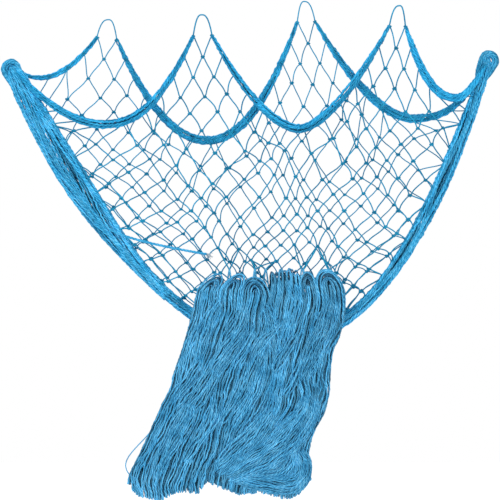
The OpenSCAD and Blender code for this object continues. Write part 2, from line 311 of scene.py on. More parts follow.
def tube_rings(lines, radius, sides):
    """Rings of points round each line, turned as little as possible from one to the next."""
    tangent = unit(np.gradient(lines, axis=1))
    first = tangent[:, 0]
    near_y = np.abs(first[:, 1:2]) > 0.8
    side = np.where(near_y, [[1.0, 0, 0]], [[0, 1.0, 0]])
    normals = []
    for i in range(lines.shape[1]):
        t = tangent[:, i]
        side = unit(side - t * np.sum(side * t, axis=1, keepdims=True))
        normals.append(side)
    normal = np.stack(normals, axis=1)
    other = np.cross(tangent, normal)
    angle = 2 * np.pi * np.arange(sides) / sides
    spokes = normal[:, :, None] * np.cos(angle)[:, None] + other[:, :, None] * np.sin(angle)[:, None]
    return lines[:, :, None] + spokes * radius[:, :, None, None]


class Skein:
    """Twines that become one mesh, with a UV map that runs round and along each twine."""

    def __init__(self, sides=6):
        self.sides = sides
        self.points = []
        self.quads = []
        self.caps = []
        self.quad_uvs = []
        self.cap_uvs = []
        self.shades = []
        self.count = 0

    def add(self, lines, radius, shade):
        """lines is strands x points x 3, and shade is one number for each strand."""
        lines = np.asarray(lines, dtype=float)
        strands, length = lines.shape[:2]
        radius = np.broadcast_to(radius, (strands, length))
        rings = tube_rings(lines, radius, self.sides)
        index = self.count + np.arange(rings.size // 3).reshape(strands, length, self.sides)
        turned = np.roll(index, -1, axis=2)
        quads = [index[:, :-1], turned[:, :-1], turned[:, 1:], index[:, 1:]]
        self.quads.append(np.stack(quads, axis=-1).reshape(-1, 4))
        self.caps.append(index[:, 0, ::-1])
        self.caps.append(index[:, -1])
        steps = np.linalg.norm(np.diff(lines, axis=1), axis=2)
        along = np.concatenate([np.zeros((strands, 1)), np.cumsum(steps, axis=1)], axis=1)
        u = np.arange(self.sides) / self.sides
        u_low = np.broadcast_to(u, (strands, length - 1, self.sides))
        v_low = np.broadcast_to(along[:, :-1, None], u_low.shape)
        v_high = np.broadcast_to(along[:, 1:, None], u_low.shape)
        u_high = u_low + 1 / self.sides
        corners = [(u_low, v_low), (u_high, v_low), (u_high, v_high), (u_low, v_high)]
        self.quad_uvs.append(np.stack([np.stack(c, axis=-1) for c in corners], axis=3).reshape(-1, 2))
        for v in (along[:, 0], along[:, -1]):
            flat = np.stack([np.full(strands, 0.5), v], axis=-1)
            self.cap_uvs.append(np.repeat(flat, self.sides, axis=0))
        self.points.append(rings.reshape(-1, 3))
        self.shades.append(np.repeat(shade, length * self.sides))
        self.count += rings.size // 3

    def build(self, name, material, body, slot, replaces=()):
        """Makes the piece and puts it on its body."""
        quads = np.concatenate(self.quads)
        caps = np.concatenate(self.caps)
        corners = np.concatenate([quads.ravel(), caps.ravel()])
        starts = np.concatenate([
            4 * np.arange(len(quads)),
            quads.size + self.sides * np.arange(len(caps)),
        ])
        mesh = bpy.data.meshes.new(name)
        mesh.vertices.add(self.count)
        mesh.vertices.foreach_set("co", np.concatenate(self.points).ravel())
        mesh.loops.add(len(corners))
        mesh.loops.foreach_set("vertex_index", corners)
        mesh.polygons.add(len(starts))
        mesh.polygons.foreach_set("loop_start", starts)
        mesh.polygons.foreach_set("use_smooth", np.ones(len(starts), dtype=bool))
        mesh.update(calc_edges=True)
        uvs = mesh.uv_layers.new(name="twine")
        uvs.data.foreach_set("uv", np.concatenate(self.quad_uvs + self.cap_uvs).ravel())
        shade = mesh.attributes.new("shade", "FLOAT", "POINT")
        shade.data.foreach_set("value", np.concatenate(self.shades))
        mesh.validate()
        mesh.materials.append(material)
        piece = bpy.data.objects.new(name, mesh)
        bpy.context.collection.objects.link(piece)
        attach(piece, body)
        if replaces:
            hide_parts(*replaces)


def shades(rng, count, spread=0.16):
    """How light each strand is, round 1."""
    return 1 + spread * rng.uniform(-1, 1, count)


def knotted(rng, down, radius, swelling=0.75):
    """Radii along strands that swell at a knot once in every bar."""
    start = rng.uniform(0, BAR, (down.shape[0], 1))
    from_knot = (down + start) % BAR - BAR / 2
    return radius * (1 + swelling * np.exp(-(from_knot / 0.0034) ** 2))


# ---- material ----

def add_node(tree, kind, place, **values):
    node = tree.nodes.new(kind)
    node.location = place
    for name, value in values.items():
        setattr(node, name, value)
    return node


def math_node(tree, operation, values, place):
    """Each value is a number or the output of another node."""
    node = add_node(tree, "ShaderNodeMath", place, operation=operation)
    for socket, value in zip(node.inputs, values):
        if hasattr(value, "is_output"):
            tree.links.new(value, socket)
        else:
            socket.default_value = value
    return node.outputs[0]


def twine_material(name, groove_shade, body, light):
    """Laid cotton twine: plies that turn round it, fine fibres and uneven dye, with painted shade in
    the grooves between plies and a painted highlight on their crowns.
    """
    material = bpy.data.materials.new(name)
    material.use_nodes = True
    tree = material.node_tree
    shader = tree.nodes["Principled BSDF"]
    shader.inputs["Roughness"].default_value = 0.78
    shader.inputs["Sheen Weight"].default_value = 0.12
    shader.inputs["Sheen Roughness"].default_value = 0.5
    shader.inputs["Sheen Tint"].default_value = (0.35, 0.70, 1.0, 1)
    shader.inputs["Specular IOR Level"].default_value = 0.2

    uv = add_node(tree, "ShaderNodeUVMap", (-1500, 0), uv_map="twine")
    split = add_node(tree, "ShaderNodeSeparateXYZ", (-1320, 0))
    tree.links.new(uv.outputs[0], split.inputs[0])
    turned = math_node(tree, "MULTIPLY", (split.outputs[1], 2 * np.pi / LAY), (-1140, -80))
    round_it = math_node(tree, "MULTIPLY", (split.outputs[0], 2 * np.pi * PLIES), (-1140, 80))
    angle = math_node(tree, "ADD", (round_it, turned), (-960, 0))
    wave = math_node(tree, "SINE", (angle,), (-780, 0))
    ply = math_node(tree, "MULTIPLY_ADD", (wave, 0.5, 0.5), (-600, 0))

    place = add_node(tree, "ShaderNodeTexCoord", (-1140, -420))
    dye = add_node(tree, "ShaderNodeTexNoise", (-780, -300))
    dye.inputs["Scale"].default_value = 34
    dye.inputs["Detail"].default_value = 3
    fibres = add_node(tree, "ShaderNodeTexNoise", (-780, -560))
    fibres.inputs["Scale"].default_value = 900
    fibres.inputs["Detail"].default_value = 2
    for noise in (dye, fibres):
        tree.links.new(place.outputs["Object"], noise.inputs["Vector"])

    # The ramp runs from painted shade in the ply grooves, through the body colour, to a painted
    # highlight on the ply crowns.
    ramp = add_node(tree, "ShaderNodeValToRGB", (-420, 160))
    ramp.color_ramp.elements[0].color = (*groove_shade, 1)
    ramp.color_ramp.elements[0].position = 0.0
    ramp.color_ramp.elements[1].color = (*light, 1)
    ramp.color_ramp.elements[1].position = 1.0
    middle = ramp.color_ramp.elements.new(0.45)
    middle.color = (*body, 1)
    mottled = math_node(tree, "MULTIPLY_ADD", (dye.outputs["Fac"], 0.9, -0.45), (-600, -180))
    # The ply wave also sets the colour: painted shade in its grooves and a painted highlight on its
    # crowns, added to the uneven dye.
    ply_shade_and_highlight = math_node(tree, "MULTIPLY_ADD", (ply, 0.55, 0.18), (-600, 200))
    tone_and_painted_shade = math_node(tree, "ADD", (ply_shade_and_highlight, mottled), (-510, 40))
    tree.links.new(tone_and_painted_shade, ramp.inputs[0])

    shade = add_node(tree, "ShaderNodeAttribute", (-420, -120), attribute_name="shade")
    tint = add_node(tree, "ShaderNodeVectorMath", (-160, 100), operation="SCALE")
    tree.links.new(ramp.outputs[0], tint.inputs[0])
    tree.links.new(shade.outputs["Fac"], tint.inputs["Scale"])
    tree.links.new(tint.outputs[0], shader.inputs["Base Color"])

    height = math_node(tree, "MULTIPLY_ADD", (fibres.outputs["Fac"], 0.35, ply), (-420, -460))
    bump = add_node(tree, "ShaderNodeBump", (-160, -300))
    bump.inputs["Strength"].default_value = 0.8
    bump.inputs["Distance"].default_value = 0.0004
    tree.links.new(height, bump.inputs["Height"])
    tree.links.new(bump.outputs[0], shader.inputs["Normal"])
    return material


# ---- netting ----

def hook_columns(swags):
    """The columns that hang straight from a hook."""
    return sorted({column for swag in swags.values() for column in (swag.first, swag.last)})


def head_points(swags):
    """The head band's knots: {column: [x, z]}."""
    points = {}
    for swag in swags.values():
        line = valley(swag)
        for column in range(swag.first, swag.last + 1):
            share = (column - swag.first) / (swag.last - swag.first)
            points[column] = at_shares(line, share)
    return points


def gather_half(widest, t):
    """Half width of a side gather: a blunt tip over its hook, a swell, and thinner to the foot."""
    tip = np.sqrt(np.clip(1 - (1 - np.clip(t / TIP_SHARE, 0, 1)) ** 2, 0.06, 1))
    grown = np.sin(np.pi / 2 * np.clip(t / WIDEST_AT, 0, 1))
    swell = tip * mix(TIP_HALF * widest, widest, grown)
    thin = mix(widest, FOOT_HALF, ease(np.clip((t - WIDEST_AT) / (1 - WIDEST_AT), 0, 1)))
    return np.where(t < WIDEST_AT, swell, thin)


def gather_edge(row, left):
    """Where a row's last knot is drawn into a side gather."""
    t = row / ROWS
    share = t * LEFT_BREAK if left else 1 - t * (1 - RIGHT_BREAK)
    inward = across(FOOT_LINE, np.array(share))
    half = gather_half(LEFT_HALF if left else RIGHT_HALF, t)
    return at_shares(FOOT_LINE, share) + inward * half * 0.55


def lay_out_knots(swags):
    """Every knot of a layer: {(column, row): (place, is it held there)}."""
    head = head_points(swags)
    hooks = hook_columns(swags)
    knots = {}
    for row in range(1, ROWS + 1):
        lost = LOST * row / ROWS
        columns = [
            c for c in range(COLUMNS + 1)
            if (c + row) % 2 == 0
            and lost <= c <= COLUMNS - lost
            and row >= min(abs(c - h) for h in hooks)
        ]
        for column in columns:
            top = min(abs(column - h) for h in hooks)
            share = mix(LEFT_BREAK, RIGHT_BREAK, (column - LOST) / (COLUMNS - 2 * LOST))
            foot = at_shares(FOOT_LINE, np.clip(share, 0, 1))
            place = mix(head[column], foot, (row - top) / (ROWS - top))
            held = row == top or row == ROWS
            if not held and column == columns[0]:
                place, held = gather_edge(row, True), True
            if not held and column == columns[-1]:
                place, held = gather_edge(row, False), True
            knots[column, row] = (place, held)
    return knots


def bars_of(keys):
    """Pairs of neighbouring knots, as indices into keys."""
    index = {key: i for i, key in enumerate(keys)}
    pairs = []
    for (column, row), i in index.items():
        for side in (-1, 1):
            below = index.get((column + side, row + 1))
            if below is not None:
                pairs.append((i, below))
    return np.array(pairs)


def settle(places, free, pairs, rng, rounds=260):
    """Lets the free knots find their places between the held ones, with no bar overlong."""
    count = np.zeros(len(places))
    np.add.at(count, pairs.ravel(), 1)
    longest = BAR * 1.06
    sag = 0.0012
    tightening = rounds - 60
    for turn in range(rounds):
        total = np.zeros_like(places)
        np.add.at(total, pairs[:, 0], places[pairs[:, 1]])
        np.add.at(total, pairs[:, 1], places[pairs[:, 0]])
        middle = total / count[:, None]
        middle[:, 1] -= sag
        places[free] = mix(places, middle, 0.6)[free]
        if turn == tightening:
            lower = np.clip((-0.25 - places[:, 1:]) / 0.3, 0, 1)
            places[free] += (rng.normal(size=places.shape) * (0.004 + 0.011 * lower))[free]
        if turn >= tightening:
            run = places[pairs[:, 1]] - places[pairs[:, 0]]
            length = np.linalg.norm(run, axis=1, keepdims=True)
            pull = run * np.clip(1 - longest / length, 0, None) * 0.4
            shift = np.zeros_like(places)
            np.add.at(shift, pairs[:, 0], pull)
            np.add.at(shift, pairs[:, 1], -pull)
            places[free] += shift[free]
    return places


def drift(flat, seed):
    """A slow wander of the netting, which differs from layer to layer."""
    x, z = flat.T
    sideways = 0.007 * np.sin(29 * x + 17 * z + seed)
    down = 0.007 * np.cos(23 * x - 31 * z + 2 * seed)
    low = np.clip((-0.15 - z) / 0.1, 0, 1)
    return low[:, None] * np.stack([sideways, down], axis=1)


def bar_lines(a, b, rng, steps=10):
    """Slack bars from knots a to knots b, which leave a sideways and then drop."""
    run = b - a
    outward = np.sign(run[:, 0])
    sideways = np.stack([outward, 0 * outward, 0 * outward], axis=1) * KNOT_HALF
    t = np.linspace(0, 1, steps)[None, :, None]
    line = mix(a[:, None], b[:, None], t)
    upright = mix((a + sideways)[:, None], (b - sideways)[:, None], mix(t, ease(t), 0.8))
    line[..., 0] = mix(line[..., 0], upright[..., 0], np.sin(np.pi * t[..., 0]) ** 0.4)
    gap = np.linalg.norm(run, axis=1)
    slack = np.clip(BAR * 1.02 - gap, 0, 0.012)
    bulge = np.clip(0.45 * np.sqrt(0.375 * gap * slack), 0.0006, 0.0042)
    bulge = bulge * rng.uniform(0.4, 1.3, len(a))
    shoulder = np.sin(np.pi * t[..., 0]) * (1 - 0.75 * t[..., 0])
    line[..., 0] += (outward * bulge)[:, None] * shoulder * 1.5
    line[..., 2] += (bulge * rng.uniform(-0.4, 0.5, len(a)))[:, None] * shoulder
    line[..., 1] += rng.normal(size=(len(a), 1)) * 0.0012 * np.sin(np.pi * t[..., 0])
    return line


def knot_lines(places, rng, size):
    """A small closed knot at each place, turned at random."""
    t = np.linspace(0, 2 * np.pi * 1.02, 22)
    x = np.sin(t) + 2 * np.sin(2 * t)
    z = np.cos(t) - 2 * np.cos(2 * t)
    y = -np.sin(3 * t)
    turn = rng.uniform(0, 2 * np.pi, (len(places), 1))
    grow = size * rng.uniform(0.85, 1.2, (len(places), 1))
    across_knot = 1.35 * grow * (x * np.cos(turn) - z * np.sin(turn)) / 3
    up_knot = 0.85 * grow * (x * np.sin(turn) + z * np.cos(turn)) / 3
    through = 0.55 * grow * np.broadcast_to(y, across_knot.shape)
    offset = np.stack([across_knot, through, up_knot], axis=-1)
    return places[:, None] + offset


def add_layer(layer, swags, y, radius, seed, material):
    """One layer's twines and knots, in pieces for each bay as in the part."""
    rng = np.random.default_rng(seed)
    knots = lay_out_knots(swags)
    keys = list(knots)
    flat = np.array([knots[key][0] for key in keys])
    free = np.array([not knots[key][1] for key in keys])
    pairs = bars_of(keys)
    flat = settle(flat, free, pairs, rng)
    flat[free] += drift(flat, seed)[free]
    column = np.array([key[0] for key in keys])
    wander = 0.003 * np.sin(flat[:, 0] * 21 + seed) * np.cos(flat[:, 1] * 17 + seed)
    depth = y + np.where(free, wander + rng.normal(size=len(keys)) * 0.0008, 0)
    places = np.stack([flat[:, 0], depth, flat[:, 1]], axis=1)
    twine_number = np.minimum(column[pairs[:, 0]], column[pairs[:, 1]])
    for bay, swag in swags.items():
        inside = (twine_number >= swag.first) & (twine_number < swag.last)
        for parity, kind in enumerate(("warps", "shuttles")):
            chosen = pairs[inside & (twine_number % 2 == parity)]
            lines = bar_lines(places[chosen[:, 0]], places[chosen[:, 1]], rng)
            skein = Skein()
            skein.add(lines, radius, shades(rng, len(lines)))
            node = f"{layer}_{bay}_{kind}"
            skein.build(f"{node}_twine", material, "net", "net_twine", [node])
        past_last = swag.last + 1 if swag.last == COLUMNS else swag.last
        mine = (column >= swag.first) & (column < past_last)
        skein = Skein(5)
        lines = knot_lines(places[mine], rng, 0.0029)
        skein.add(lines, radius * 1.05, shades(rng, len(lines)) * 0.9)
        skein.build(f"{layer}_{bay}_knots", material, "net", "net_twine")
    return places


# ---- bands, loops and gathers ----

def bundle(skein, rng, line, y, half, depth, count, spans=None, radius=STRAND_R):
    """Strands that run along a line, packed in an oval of these half sizes."""
    total = lengths(line)[-1]
    points = int(total / BUNDLE_STEP)
    t = np.linspace(0, 1, points)[None]
    if spans is None:
        spans = np.tile([0.0, 1.0], (count, 1))
    share = mix(spans[:, :1], spans[:, 1:], t)
    place = at_shares(line, share)
    side = across(line, share)
    angle = 2 * np.pi * (np.arange(count)[:, None] * 0.618 % 1)
    reach = np.array([0.93, 0.84, 0.50, 0.93, 0.70])[np.arange(count) % 5][:, None]
    down = share * total
    angle = angle + ripple(rng, angle, down, 0.42, 0.45)
    out = reach * np.cos(angle) * half(share) + ripple(rng, angle, down, 0.09, 0.0009, own=2)
    deep = reach * np.sin(angle) * depth(share) + ripple(rng, angle, down, 0.08, 0.0008, own=2)
    lines = np.stack([
        place[..., 0] + side[..., 0] * out,
        y + deep,
        place[..., 1] + side[..., 1] * out,
    ], axis=-1)
    # Inner strands, at reach under 0.6, are darkened to 0.6 of their tone: painted shade inside the
    # bundle.
    tone_and_painted_shade = shades(rng, count, 0.30) * np.where(reach[:, 0] < 0.6, 0.6, 1)
    skein.add(lines, knotted(rng, down, radius), tone_and_painted_shade)


def clipped_valley(swag, start_reach, end_reach):
    """A swag's line without its ends."""
    line = valley(swag, 192)
    from_start = np.linalg.norm(line - line[0], axis=1)
    from_end = np.linalg.norm(line - line[-1], axis=1)
    return line[(from_start > start_reach) & (from_end > end_reach)]


def add_head_band(layer, bay, swag, y, seed, thick, material):
    """The edge rows drawn together: strands join it one by one as it runs down its swag."""
    rng = np.random.default_rng(seed)
    reach = [0.016 if hook.endswith("_end") else 0.046 for hook in (swag.start, swag.end)]
    line = clipped_valley(swag, *reach)
    count = int(BAND_STRANDS * thick)
    late = np.linspace(0, 1, count) ** 1.6 * 0.30
    spans = np.stack([late, 1 - rng.permutation(late)], axis=1)
    spans[:3] = (0, 1)

    def half(share):
        return mix(BAND_TIP_HALF, thick * BAND_HALF, np.sin(np.pi * np.clip(share, 0, 1)) ** 0.9)

    def depth(share):
        return 0.75 * half(share)

    outward = BAND_OFFSET if y > MIDDLE_Y else -BAND_OFFSET
    skein = Skein()
    bundle(skein, rng, line, y + outward, half, depth, count, spans, BAND_STRAND_R)
    name = f"{layer}_{bay}_head_band"
    skein.build(f"{name}_strands", material, "net", "band_twine", [name])


def add_hang_loop(layer, side, left_swag, right_swag, y, radius, material):
    """The mesh drawn open over a hook, down to the first two knots of the head bands."""
    top = HOOK[left_swag.end] + (0, radius)
    feet = []
    for swag, from_end in ((left_swag, True), (right_swag, False)):
        share = 1 / (swag.last - swag.first)
        feet.append(at_shares(valley(swag), 1 - share if from_end else share))
    s = np.linspace(-1, 1, 41)
    foot = np.where(s[:, None] < 0, feet[0], feet[1])
    x = mix(top[0], foot[:, 0], np.abs(s) ** 0.8)
    z = mix(top[1], foot[:, 1], np.abs(s) ** 2.2)
    line = np.stack([x, np.full_like(x, y), z], axis=-1)
    skein = Skein(8)
    skein.add(line[None], radius, np.ones(1))
    node = f"{layer}_{side}_hang_loop"
    skein.build(f"{node}_twine", material, "net", "net_twine", [node])


def add_end_bunch(name, hook, seed, material):
    """The rows' ends, bunched over an outer hook."""
    rng = np.random.default_rng(seed)
    centre = HOOK[hook] + (0, END_BUNCH_R - END_LOOP_R)
    turn = np.linspace(np.pi, 0, 22)
    legs = np.linspace(-END_LEG, 0, 15)[:-1]
    straight = np.zeros(len(legs))
    arch_x = np.concatenate([straight - 1, np.cos(turn), straight + 1])
    arch_z = np.concatenate([straight, np.sin(turn), straight])
    drop = np.concatenate([legs, 0 * turn, legs[::-1]])
    sunk = (-drop / END_LEG) ** 2
    count = 26
    angle = 2 * np.pi * (np.arange(count)[:, None] * 0.618 % 1)
    reach = np.where(np.arange(count)[:, None] % 3 == 2, 0.45, 0.8) * END_BUNCH_R
    reach = reach * (1 - 0.4 * sunk)
    down = np.linspace(0, 0.17, len(drop))[None]
    angle = angle + ripple(rng, angle, down, 0.16, 0.5)
    radius = END_LOOP_R + reach * np.cos(angle)
    lean = END_LEAN if hook == "hook_left_end" else -END_LEAN
    out = arch_x * radius * (1 - 0.75 * sunk)
    up = arch_z * radius + drop
    lines = np.stack([
        centre[0] + out * np.cos(lean) - up * np.sin(lean),
        MIDDLE_Y + reach * np.sin(angle) + ripple(rng, angle, down, 0.05, 0.0006, own=2),
        centre[1] + out * np.sin(lean) + up * np.cos(lean),
    ], axis=-1)
    skein = Skein()
    skein.add(lines, knotted(rng, down + 0 * angle, STRAND_R), 0.82 * shades(rng, count, 0.3))
    skein.build(f"{name}_strands", material, "net", "band_twine", [name])


def add_side_gather(name, start, end, widest, count, seed, material):
    """The netting's side rows, drawn together from an outer hook down to the foot."""
    rng = np.random.default_rng(seed)
    line = at_shares(FOOT_LINE, mix(start, end, np.linspace(0, 1, 120)))

    def half(share):
        return gather_half(widest, share) - STRAND_R

    def depth(share):
        return np.minimum(half(share), GATHER_DEPTH - STRAND_R)

    skein = Skein()
    bundle(skein, rng, line, MIDDLE_Y, half, depth, count)
    skein.build(f"{name}_strands", material, "net", "band_twine", [name])


def add_foot_gather(material):
    """The fold line between the two layers, behind the hank."""
    rng = np.random.default_rng(61)
    tuck = 0.015 / FOOT_LENGTH
    line = at_shares(FOOT_LINE, mix(LEFT_BREAK - tuck, RIGHT_BREAK + tuck, np.linspace(0, 1, 80)))

    def half(share):
        return np.full_like(share, FOOT_HALF - STRAND_R)

    skein = Skein()
    bundle(skein, rng, line, MIDDLE_Y, half, half, 30)
    skein.build("foot_gather_strands", material, "net", "band_twine", ["foot_gather"])


def add_stray_strand(material):
    """Three twines twisted together, pulled out of the left gather, with a frayed end."""
    t = np.linspace(0, 1, 70)
    x = mix(STRAY_START[0], STRAY_END[0], t)
    z = mix(STRAY_START[1], STRAY_END[1], t ** 0.6)
    turns = 9
    twist_r = 0.0016
    angle = 2 * np.pi * (t * turns + np.arange(3)[:, None] / 3)
    lines = np.stack([
        np.broadcast_to(x, angle.shape),
        STRAY_Y + twist_r * np.cos(angle),
        z + twist_r * np.sin(angle),
    ], axis=-1)
    skein = Skein()
    skein.add(lines, STRAY_TWINE_R, np.array([0.95, 1.05, 1.1]))
    skein.build("stray_strand_twines", material, "net", "net_twine", ["stray_strand"])


def add_fray(material):
    """The pale fibres at the stray strand's cut end."""
    rng = np.random.default_rng(67)
    count = 26
    t = np.linspace(0, 1, 8)
    length = rng.uniform(0.007, 0.017, (count, 1))
    aim = rng.normal(size=(count, 1)) * 0.45 - 0.35
    lift = rng.normal(size=(count, 1)) * 0.25
    start = rng.normal(size=(count, 2)) * 0.0008
    lines = np.stack([
        STRAY_END[0] - STRAY_TWINE_R + length * t * np.cos(aim),
        STRAY_Y + start[:, :1] + length * t * lift,
        STRAY_END[1] + start[:, 1:] + length * t ** 1.4 * np.sin(aim),
    ], axis=-1)
    fibre_r = 0.0005
    skein = Skein(4)
    skein.add(lines, fibre_r, shades(rng, count))
    skein.build("stray_strand_fray", material, "net", "net_twine")


# ---- hank ----

def smooth_route(points, steps=10):
    """A curve through all the points."""
    p = np.array(points)
    p = np.concatenate([[2 * p[0] - p[1]], p, [2 * p[-1] - p[-2]]])
    t = np.linspace(0, 1, steps, endpoint=False)[:, None]
    pieces = []
    for a, b, c, d in zip(p, p[1:], p[2:], p[3:]):
        pieces.append(0.5 * (
            2 * b + (c - a) * t + (2 * a - 5 * b + 4 * c - d) * t ** 2
            + (3 * b - a - 3 * c + d) * t ** 3
        ))
    return np.concatenate(pieces + [p[-2:-1]])


LEFT_EDGE = smooth_route(HANK_LEFT)[::-1]
RIGHT_EDGE = smooth_route(HANK_RIGHT)[::-1]
TOP_WIDTH = HANK_RIGHT[0][0] - HANK_LEFT[0][0]


def hank_x(share, z):
    """Across the hank at a height, from 0 at its left edge to 1 at its right."""
    left = np.interp(z, LEFT_EDGE[:, 1], LEFT_EDGE[:, 0])
    right = np.interp(z, RIGHT_EDGE[:, 1], RIGHT_EDGE[:, 0])
    return mix(left, right, share)


def hank_share(x, z):
    """The reverse of hank_x."""
    left, right = hank_x(0.0, z), hank_x(1.0, z)
    return (x - left) / (right - left)


def hank_bottom(share):
    """Height of the lowest strands: two lobes with a notch between them."""
    shares, heights = np.transpose(HANK_FOOT)
    return np.interp(share, shares, heights) + TURN_DROP


def hank_shell(share):
    """Distance of the hank's outer strands from its middle plane."""
    from_middle = np.clip(np.abs(2 * share - 1), 0, 1)
    return (HANK_DEPTH - 0.006) * np.sqrt(np.clip(1 - from_middle ** 4, 0, 1))


def hank_flow(share, z):
    """The slow sideways drift that all strands follow."""
    slow = 0.010 * np.sin(2 * np.pi * (z / 0.23 + 1.3 * share))
    return slow + 0.006 * np.sin(2 * np.pi * (z / 0.12 - 2.2 * share + 0.3))


def loop_leg(rng, share, spring, sign, inset):
    """One leg of every loop, from its turned-in lower end up to where the arch springs."""
    low = hank_bottom(share) + 0.003 * rng.random(share.shape) + inset
    z = mix(low, spring, np.linspace(0, 1, 84)[None])
    fade = np.clip((spring - z) / 0.05, 0, 1)
    wander = hank_flow(share, z) + ripple(rng, share * 5, z, 0.10, 0.0060, own=0.7)
    wander = wander + ripple(rng, share, z, 0.036, 0.0030, own=3)
    share = np.clip(share + wander * fade, 0.004, 0.996)
    own_depth = inset + STRAND_INSET + ripple(rng, share[:, :1], z, 0.13, 0.0017, own=3) * fade
    shell = hank_shell(share) - own_depth

    # The lower end turns in and runs up again a little, inside the outer strands
    tuck = np.clip(0.45 * shell[:, :1], 0.002, 0.012)
    angle = np.linspace(np.pi, 0, 8)[None, :-1]
    turn_y = shell[:, :1] - tuck * (1 - np.cos(angle))
    turn_z = z[:, :1] - 0.75 * tuck * np.sin(angle)
    tail_y = np.repeat(turn_y[:, :1], 2, axis=1)
    tail_z = z[:, :1] + np.array([[0.045, 0.020]])
    added = tail_z.shape[1] + turn_z.shape[1]
    whole_z = np.concatenate([tail_z, turn_z, z], axis=1)
    whole_share = np.concatenate([np.repeat(share[:, :1], added, axis=1), share], axis=1)
    return np.stack([
        hank_x(whole_share, whole_z),
        HANK_Y + sign * np.concatenate([tail_y, turn_y, shell], axis=1),
        whole_z,
    ], axis=-1)


def loop_strands(rng, edges, dip, skew, front, inset, density):
    """Strands of one side of a loop: up one leg, over the top and down the other."""
    left, right = edges
    sign = -1 if front else 1
    count = max(2, int(density * (right - left) * 1.12 * TOP_WIDTH / (2 * STRAND_PITCH)))
    q = ((np.arange(count) + rng.uniform(0.1, 0.9, count)) / count)[:, None]
    reach = q * (right - left) / 2
    middle = (left + right) / 2 + rng.normal(size=(count, 1)) * 0.004
    rise = 0.006 + 1.25 * reach * TOP_WIDTH
    peak = HANK_TOP - 0.004 - dip - 0.030 * (1 - q) - inset - 0.008 * rng.random((count, 1)) ** 2
    spring = peak - rise
    legs = [loop_leg(rng, middle + side * reach, spring, sign, inset) for side in (-1, 1)]
    turn = np.linspace(0, np.pi, 15)[None, 1:-1]
    share = middle - np.cos(turn) * reach + skew * reach * np.sin(turn)
    z = spring + rise * np.sin(turn)
    inward = mix(1.0, 0.30, np.sin(turn) ** 2)
    arch = np.stack([
        hank_x(share, z),
        HANK_Y + sign * (hank_shell(share) - inset - STRAND_INSET) * inward,
        z,
    ], axis=-1)
    return np.concatenate([legs[0], arch, legs[1][:, ::-1]], axis=1)


def add_fold(number, fold, material):
    """One fold of the hank, its front and its back, each in sheets of strands."""
    rng = np.random.default_rng(70 + number)
    left, right, dip, loops, skew = fold
    edges = np.linspace(left, right, loops + 1)
    skein = Skein(5)
    for front in (True, False):
        for inset, density, sheet_painted_shade in HANK_SHEETS:
            for loop in range(loops):
                uneven = dip + 0.004 * rng.random()
                pair = edges[loop:loop + 2]
                lines = loop_strands(rng, pair, uneven, skew, front, inset, density)
                down = np.linspace(0, 1.0, lines.shape[1])[None] + np.zeros((len(lines), 1))
                # Each sheet's strands are darkened by its painted shade, deeper sheets more.
                tone_and_painted_shade = shades(rng, len(lines), 0.30) * sheet_painted_shade
                skein.add(lines, knotted(rng, down, HANK_R, 0.8), tone_and_painted_shade)
    node = f"hank_fold_{number}"
    skein.build(f"{node}_strands", material, "hank", "hank_twine", [node])


def lock_strands(rng, route, width, count, lift):
    """Strands side by side along a route over the hank's front, with both ends tucked in."""
    line = smooth_route(route)
    total = lengths(line)[-1]
    s = np.linspace(0, 1, int(total / BUNDLE_STEP))[None] + np.zeros((count, 1))
    start = rng.uniform(-0.10, 0.05, (count, 1))
    end = rng.uniform(0.95, 1.10, (count, 1))
    s = np.clip(mix(start, end, s), 0, 1)
    place = at_shares(line, s)
    side = across(line, s)
    offset = np.linspace(-0.5, 0.5, count)[:, None]
    out = offset * width * mix(0.6, 1.0, np.sin(np.pi * s))
    out = out + ripple(rng, offset * 2, s * total, 0.10, 0.0020, own=0.7)
    out = out + ripple(rng, offset, s * total, 0.036, 0.0009, own=3)
    x = place[..., 0] + side[..., 0] * out
    z = place[..., 1] + side[..., 1] * out
    share = np.clip(hank_share(x, z), 0, 1)
    from_end = np.minimum(s, 1 - s) * total
    tuck = (lift + 0.010) * np.exp(-(from_end / 0.022) ** 2)
    crown = lift * np.cos(np.pi * offset * 0.9) + 0.0030 * rng.random((count, 1))
    return np.stack([x, HANK_Y - hank_shell(share) - crown + tuck, z], axis=-1), s * total


def add_locks(material):
    """The locks across the hank's front, two strands thick. The first is the front sweep."""
    rng = np.random.default_rng(81)
    for number, (route, width, count, lift) in enumerate(LOCKS):
        skein = Skein(5)
        for under in (0, LOCK_UNDER):
            lines, down = lock_strands(rng, route, width, count, lift)
            lines[..., 1] += under
            skein.add(lines, knotted(rng, down, HANK_R, 0.8), shades(rng, count, 0.2))
        nodes = ["hank_front_sweep"] if number == 0 else []
        skein.build(f"hank_lock_{number + 1}", material, "hank", "hank_twine", nodes)


def add_scattered_locks(material):
    """Short locks that cross the folds a little askew, on the hank's front and back."""
    rng = np.random.default_rng(83)
    skein = Skein(5)
    for number in range(SCATTERED_LOCKS):
        share = rng.uniform(0.10, 0.90)
        top = rng.uniform(HANK_BOTTOM + 0.20, HANK_TOP - 0.05)
        run = rng.uniform(0.09, 0.17)
        slant = rng.uniform(-0.16, 0.05)
        steps = np.linspace(0, 1, 5)
        z = top - run * steps
        shares = np.clip(share + slant * steps + 0.02 * np.sin(np.pi * steps), 0.06, 0.94)
        route = np.stack([hank_x(shares, z), z], axis=-1)
        count = int(rng.integers(4, 9))
        lines, down = lock_strands(rng, route, count * 0.0038, count, 0.003)
        if number % 2:
            lines[..., 1] = 2 * HANK_Y - lines[..., 1]
        skein.add(lines, knotted(rng, down, HANK_R, 0.8), shades(rng, count, 0.2))
    skein.build("hank_scattered_locks", material, "hank", "hank_twine")


